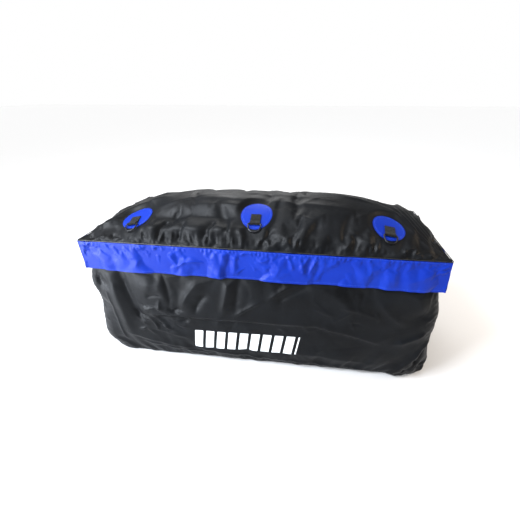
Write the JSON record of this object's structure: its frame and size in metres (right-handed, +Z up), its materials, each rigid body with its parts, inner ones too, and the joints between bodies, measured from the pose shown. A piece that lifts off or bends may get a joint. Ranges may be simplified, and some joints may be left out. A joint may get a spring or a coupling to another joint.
{
  "type": "hitch cargo carrier bag",
  "caption": "Soft box-shaped cargo bag for a hitch tray, with a domed lid on a fabric hinge, zip under storm flaps and lashing rings on round patches.",
  "frame": {"origin": "on the floor under the middle of the bag's base", "axes": "+X along the length of the bag, +Y from the front wall towards the rear wall and its hinge, +Z up"},
  "size_m": [1.55, 0.548, 0.724],
  "materials": {
    "black_coated_fabric": "satin",
    "blue_coated_fabric": "satin",
    "webbing": "matte",
    "zip_tape": "matte",
    "zip_coil": "satin",
    "hook_and_loop": "matte",
    "piping": "satin",
    "ring_steel": "satin",
    "slider_metal": "satin"
  },
  "bodies": {
    "bag": {"base_panel": "black_coated_fabric", "front_wall": "black_coated_fabric", "rear_wall": "black_coated_fabric", "left_end_wall": "black_coated_fabric", "right_end_wall": "black_coated_fabric", "front_left_corner_panel": "black_coated_fabric", "front_left_corner_tape": "black_coated_fabric", "front_right_corner_panel": "black_coated_fabric", "front_right_corner_tape": "black_coated_fabric", "rear_left_corner_panel": "black_coated_fabric", "rear_left_corner_tape": "black_coated_fabric", "rear_right_corner_panel": "black_coated_fabric", "rear_right_corner_tape": "black_coated_fabric", "rear_band": "blue_coated_fabric", "hinge_tape": "black_coated_fabric", "lower_zip_tape": "zip_tape", "lower_zip_coil": "zip_coil", "left_zip_stop": "slider_metal", "right_zip_stop": "slider_metal", "front_loop_strip": "hook_and_loop", "left_loop_strip": "hook_and_loop", "right_loop_strip": "hook_and_loop"},
    "lid": {"lid_panel": "black_coated_fabric", "lid_piping": "piping", "upper_zip_tape": "zip_tape", "upper_zip_coil": "zip_coil", "front_left_patch": "blue_coated_fabric", "front_left_webbing": "webbing", "front_middle_patch": "blue_coated_fabric", "front_middle_webbing": "webbing", "front_right_patch": "blue_coated_fabric", "front_right_webbing": "webbing", "rear_left_patch": "blue_coated_fabric", "rear_left_webbing": "webbing", "rear_middle_patch": "blue_coated_fabric", "rear_middle_webbing": "webbing", "rear_right_patch": "blue_coated_fabric", "rear_right_webbing": "webbing"},
    "front_flap": {"front_storm_flap": "blue_coated_fabric", "front_hook_strip": "hook_and_loop"},
    "left_flap": {"left_storm_flap": "blue_coated_fabric", "left_hook_strip": "hook_and_loop"},
    "right_flap": {"right_storm_flap": "blue_coated_fabric", "right_hook_strip": "hook_and_loop"},
    "left_slider": {"left_zip_slider": "slider_metal"},
    "left_tab": {"left_pull_tab": "slider_metal"},
    "right_slider": {"right_zip_slider": "slider_metal"},
    "right_tab": {"right_pull_tab": "slider_metal"},
    "front_left_lashing_ring": {"front_left_ring": "ring_steel"},
    "front_middle_lashing_ring": {"front_middle_ring": "ring_steel"},
    "front_right_lashing_ring": {"front_right_ring": "ring_steel"},
    "rear_left_lashing_ring": {"rear_left_ring": "ring_steel"},
    "rear_middle_lashing_ring": {"rear_middle_ring": "ring_steel"},
    "rear_right_lashing_ring": {"rear_right_ring": "ring_steel"}
  },
  "joints": [
    {"name": "lid_hinge", "type": "hinge", "parent": "bag", "child": "lid", "pos_m": [0, 0.2415, 0.602], "axis": [-1, 0, 0], "range_deg": [0, 170]},
    {"name": "front_flap_lift", "type": "hinge", "parent": "lid", "child": "front_flap", "pos_m": [0, -0.2415, 0.5975], "axis": [-1, 0, 0], "range_deg": [0, 120]},
    {"name": "left_flap_lift", "type": "hinge", "parent": "lid", "child": "left_flap", "pos_m": [-0.7015, 0, 0.5975], "axis": [0, 1, 0], "range_deg": [0, 120]},
    {"name": "right_flap_lift", "type": "hinge", "parent": "lid", "child": "right_flap", "pos_m": [0.7015, 0, 0.5975], "axis": [0, -1, 0], "range_deg": [0, 120]},
    {"name": "left_slider_run", "type": "slide", "parent": "bag", "child": "left_slider", "axis": [-1, 0, 0], "range_m": [0, 0.62]},
    {"name": "left_tab_lift", "type": "hinge", "parent": "left_slider", "child": "left_tab", "pos_m": [-0.014, -0.2366, 0.5725], "axis": [-1, 0, 0], "range_deg": [0, 10]},
    {"name": "right_slider_run", "type": "slide", "parent": "bag", "child": "right_slider", "axis": [1, 0, 0], "range_m": [0, 0.62]},
    {"name": "right_tab_lift", "type": "hinge", "parent": "right_slider", "child": "right_tab", "pos_m": [0.014, -0.2366, 0.5725], "axis": [-1, 0, 0], "range_deg": [0, 10]},
    {"name": "front_left_ring_swing", "type": "hinge", "parent": "lid", "child": "front_left_lashing_ring", "pos_m": [-0.49345, -0.17926, 0.65401], "axis": [-0.9837, 0, -0.1799], "range_deg": [0, 150]},
    {"name": "front_middle_ring_swing", "type": "hinge", "parent": "lid", "child": "front_middle_lashing_ring", "pos_m": [0, -0.17835, 0.68058], "axis": [-1, 0, 0], "range_deg": [0, 150]},
    {"name": "front_right_ring_swing", "type": "hinge", "parent": "lid", "child": "front_right_lashing_ring", "pos_m": [0.49325, -0.17907, 0.6617], "axis": [-0.9851, 0, 0.1721], "range_deg": [0, 150]},
    {"name": "rear_left_ring_swing", "type": "hinge", "parent": "lid", "child": "rear_left_lashing_ring", "pos_m": [-0.49345, 0.17926, 0.65401], "axis": [0.9837, 0, 0.1799], "range_deg": [0, 150]},
    {"name": "rear_middle_ring_swing", "type": "hinge", "parent": "lid", "child": "rear_middle_lashing_ring", "pos_m": [0, 0.17835, 0.68058], "axis": [1, 0, 0], "range_deg": [0, 150]},
    {"name": "rear_right_ring_swing", "type": "hinge", "parent": "lid", "child": "rear_right_lashing_ring", "pos_m": [0.49325, 0.17907, 0.6617], "axis": [0.9851, 0, -0.1721], "range_deg": [0, 150]}
  ]
}
